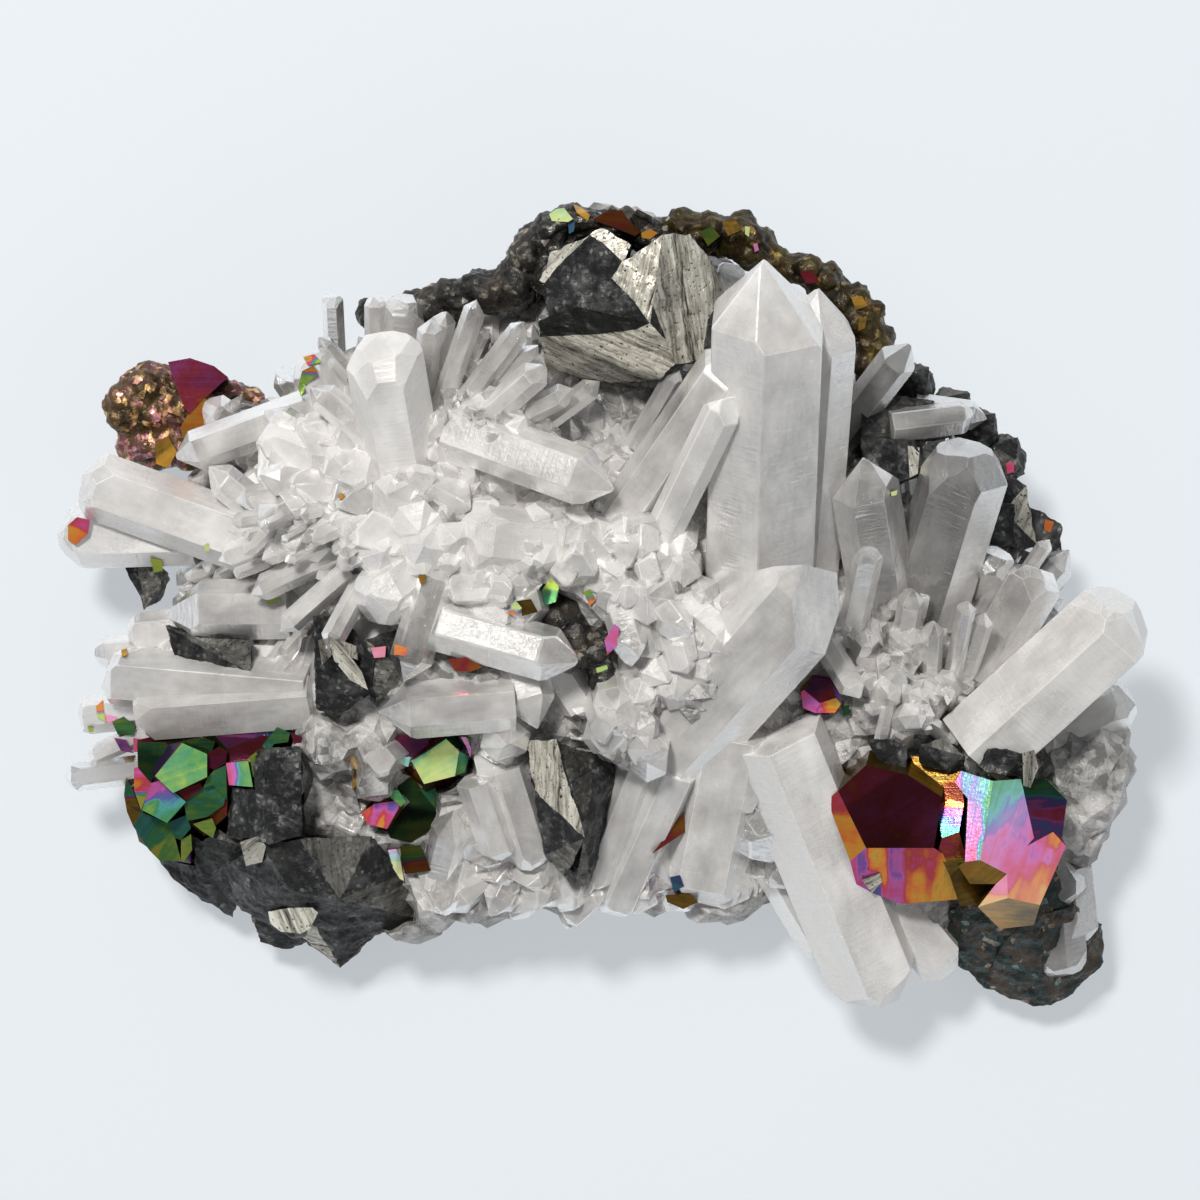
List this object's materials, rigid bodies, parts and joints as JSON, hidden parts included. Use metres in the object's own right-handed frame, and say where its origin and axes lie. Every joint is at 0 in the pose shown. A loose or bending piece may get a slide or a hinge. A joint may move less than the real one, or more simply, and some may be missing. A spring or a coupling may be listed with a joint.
{
  "type": "rainbow pyrite",
  "caption": "Mineral hand specimen: radiating milky to clear quartz crystals with dark gray sulfide crystals and iridescent pyrite grown between them, on a slab of vein rock cut flat below.",
  "frame": {"origin": "under the middle of the specimen's outline, on the surface it rests on", "axes": "+X along the specimen's long way and to the right as seen from above, +Y up as seen from above, +Z up"},
  "size_m": [0.11, 0.0828, 0.0409],
  "materials": {
    "vein_rock": "matte",
    "milky_quartz": "glassy, milky to clear",
    "iridescent_pyrite": "metallic with a many-coloured tarnish film",
    "gold_pyrite": "metallic, gold to brown",
    "dark_sulfide": "dull metallic with bright striated faces"
  },
  "bodies": {
    "root": {"vein_rock": "vein_rock", "quartz_druse": "milky_quartz", "pyrite_right_pair": "iridescent_pyrite", "pyrite_left_group": "iridescent_pyrite", "pyrite_middle": "iridescent_pyrite", "pyrite_front": "iridescent_pyrite", "pyrite_far_left": "gold_pyrite", "pyrite_crest": "gold_pyrite", "sulfide_top": "dark_sulfide", "sulfide_flank": "dark_sulfide", "sulfide_lower_left": "dark_sulfide", "sulfide_lower_right": "dark_sulfide", "sulfide_middle": "dark_sulfide", "sulfide_left_knot": "dark_sulfide", "sulfide_left_strip": "dark_sulfide", "sulfide_cap_left": "dark_sulfide", "sulfide_cap_middle": "dark_sulfide", "sulfide_cap_right": "dark_sulfide", "sulfide_left_rim": "dark_sulfide"}
  },
  "joints": []
}
